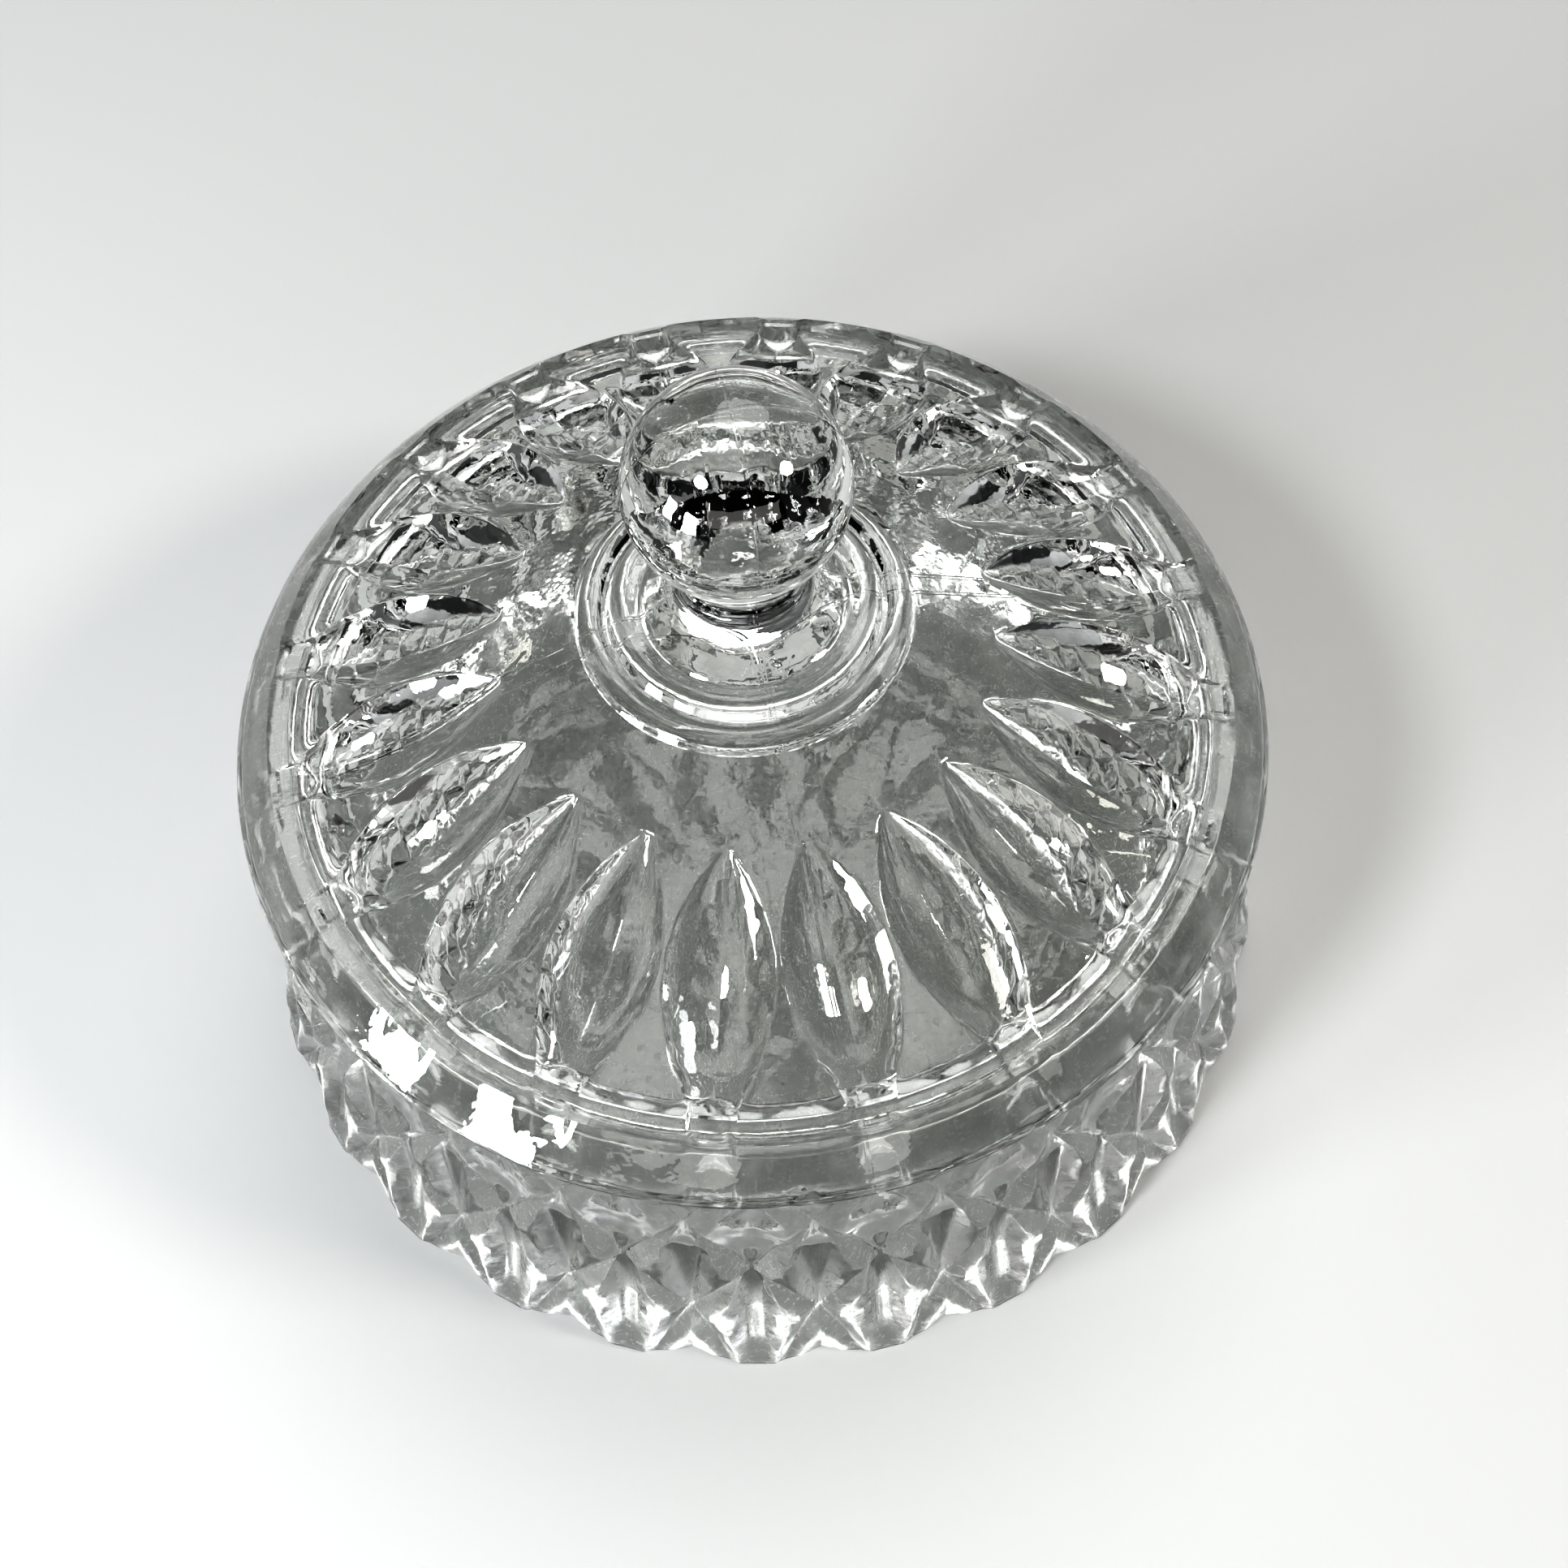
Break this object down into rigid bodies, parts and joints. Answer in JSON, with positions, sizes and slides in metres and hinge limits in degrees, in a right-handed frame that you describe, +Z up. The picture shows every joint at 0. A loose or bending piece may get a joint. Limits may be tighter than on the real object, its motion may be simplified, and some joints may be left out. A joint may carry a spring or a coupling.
{
  "type": "powder jar",
  "caption": "Round cut-crystal powder jar: flared diamond-cut bowl with a loose petal-cut domed lid lifted by a ball knob, for loose powder or trinkets.",
  "frame": {"origin": "centre of the jar's flat base, where it stands on the table", "axes": "+Z up along the jar's axis through the knob; the jar looks the same from every side, and -Y is taken as its front"},
  "size_m": [0.1418, 0.1418, 0.1064],
  "materials": {
    "bowl": "clear pressed crystal, fire polished",
    "lid": "clear pressed crystal, fire polished"
  },
  "bodies": {
    "bowl": {"bowl": "bowl"},
    "lid": {"lid": "lid"}
  },
  "joints": [
    {"name": "lid_lift", "type": "slide", "parent": "bowl", "child": "lid", "axis": [0, 0, 1], "range_m": [0, 0.07]}
  ]
}
